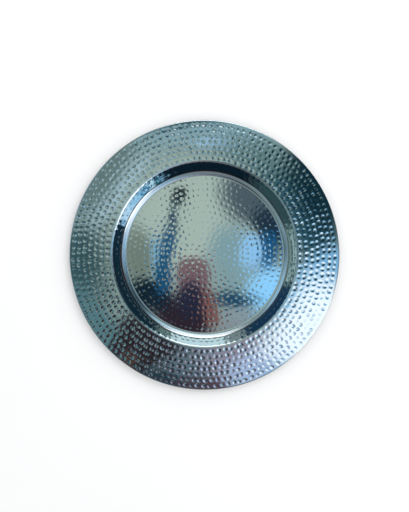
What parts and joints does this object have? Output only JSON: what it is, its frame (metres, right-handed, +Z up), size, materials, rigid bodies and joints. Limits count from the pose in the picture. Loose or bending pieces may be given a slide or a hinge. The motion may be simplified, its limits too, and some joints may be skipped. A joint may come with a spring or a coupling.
{
  "type": "offering plate",
  "caption": "Round polished metal plate with a wide hammered rim, a shallow flat hammered well, a wire-rolled edge and a felt disc under its base.",
  "frame": {"origin": "centre of the felt disc's flat underside, on the plate's axis, where the plate rests", "axes": "+Z up along the plate's axis; the plate is the same all round, so X and Y have no marked direction"},
  "size_m": [0.33, 0.33, 0.015],
  "materials": {
    "hammered_metal": "mirror polished over hammer dents",
    "wire_steel": "drawn wire",
    "felt": "pressed wool felt",
    "adhesive": "adhesive film"
  },
  "bodies": {
    "root": {"hammered_sheet": "hammered_metal", "rim_wire": "wire_steel", "base_felt": "felt", "felt_adhesive": "adhesive"}
  },
  "joints": []
}
